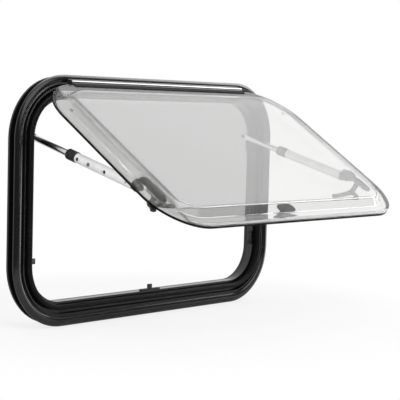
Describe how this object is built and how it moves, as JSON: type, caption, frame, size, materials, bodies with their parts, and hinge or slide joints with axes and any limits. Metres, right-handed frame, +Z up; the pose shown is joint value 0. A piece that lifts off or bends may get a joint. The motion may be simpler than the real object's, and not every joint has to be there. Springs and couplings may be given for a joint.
{
  "type": "caravan window",
  "caption": "Top-hung push-out caravan window: black framed, with a domed double acrylic sash held open by telescopic stays and closed by turning latches.",
  "frame": {"origin": "middle of the bottom side of the flange's bearing face, where the window lies on the outside of the wall", "axes": "+Z up, +X to the right seen from outside, +Y through the wall into the vehicle"},
  "size_m": [0.845, 0.4645, 0.54],
  "materials": {
    "black_frame": "black satin powder coat on an aluminium extrusion",
    "black_frame_inner": "black satin powder coat on an aluminium section",
    "black_hinge": "black coated aluminium with a bright sheen along the ridge",
    "seal_rubber": "black sealing rubber",
    "acrylic": "clear formed acrylic sheet with a light grey tint",
    "black_plastic": "black moulded plastic",
    "grey_plastic": "dark grey moulded plastic",
    "collar_plastic": "black knurled plastic",
    "bright_rod": "drawn aluminium rod",
    "pale_tube": "silver anodised tube"
  },
  "bodies": {
    "frame": {"outer_frame": "black_frame", "clamp_frame": "black_frame_inner", "sash_gasket": "seal_rubber", "hinge_rail": "black_hinge", "hinge_end_cap_left": "black_plastic", "hinge_end_cap_right": "black_plastic", "stay_bracket_left": "black_plastic", "stay_bracket_right": "black_plastic", "catch_left": "black_plastic", "catch_right": "black_plastic", "catch_bottom": "black_plastic"},
    "sash": {"outer_pane": "acrylic", "inner_pane": "acrylic", "pane_edge_seal": "seal_rubber", "hinge_leaf": "black_hinge", "vent_plug_left": "grey_plastic", "vent_plug_right": "grey_plastic", "stay_pad_left": "black_plastic", "stay_pad_right": "black_plastic", "latch_base_left": "grey_plastic", "latch_base_right": "grey_plastic", "latch_base_bottom": "grey_plastic"},
    "rod_left": {"stay_rod_left": "bright_rod"},
    "tube_left": {"stay_collar_left": "collar_plastic", "stay_tube_left": "pale_tube", "stay_end_left": "black_plastic"},
    "rod_right": {"stay_rod_right": "bright_rod"},
    "tube_right": {"stay_collar_right": "collar_plastic", "stay_tube_right": "pale_tube", "stay_end_right": "black_plastic"},
    "lever_left": {"latch_lever_left": "black_plastic"},
    "lever_right": {"latch_lever_right": "black_plastic"},
    "lever_bottom": {"latch_lever_bottom": "black_plastic"}
  },
  "joints": [
    {"name": "sash_hinge", "type": "hinge", "parent": "frame", "child": "sash", "pos_m": [0, -0.017, 0.513], "axis": [-1, 0, 0], "range_deg": [-56.5, 0]},
    {"name": "stay_swivel_left", "type": "hinge", "parent": "frame", "child": "rod_left", "pos_m": [-0.3505, 0.024, 0.397], "axis": [-1, 0, 0], "range_deg": [-68.76, 0]},
    {"name": "stay_slide_left", "type": "slide", "parent": "rod_left", "child": "tube_left", "axis": [0, -0.9625, -0.2711], "range_m": [-0.10081, 0]},
    {"name": "stay_swivel_right", "type": "hinge", "parent": "frame", "child": "rod_right", "pos_m": [0.3505, 0.024, 0.397], "axis": [-1, 0, 0], "range_deg": [-68.76, 0]},
    {"name": "stay_slide_right", "type": "slide", "parent": "rod_right", "child": "tube_right", "axis": [0, -0.9625, -0.2711], "range_m": [-0.10081, 0]},
    {"name": "lever_turn_left", "type": "hinge", "parent": "sash", "child": "lever_left", "pos_m": [-0.342, -0.31328, 0.27577], "axis": [0, 0.5519, -0.8339], "range_deg": [0, 75]},
    {"name": "lever_turn_right", "type": "hinge", "parent": "sash", "child": "lever_right", "pos_m": [0.342, -0.31328, 0.27577], "axis": [0, -0.5519, 0.8339], "range_deg": [0, 75]},
    {"name": "lever_turn_bottom", "type": "hinge", "parent": "sash", "child": "lever_bottom", "pos_m": [0, -0.36706, 0.24017], "axis": [0, -0.5519, 0.8339], "range_deg": [0, 75]}
  ],
  "couplings": [
    {"joint": "stay_swivel_left", "follows": "sash_hinge", "ratio": 1.2165},
    {"joint": "stay_slide_left", "follows": "sash_hinge", "m_per_rad": 0.10221},
    {"joint": "stay_swivel_right", "follows": "sash_hinge", "ratio": 1.2165},
    {"joint": "stay_slide_right", "follows": "sash_hinge", "m_per_rad": 0.10221}
  ]
}
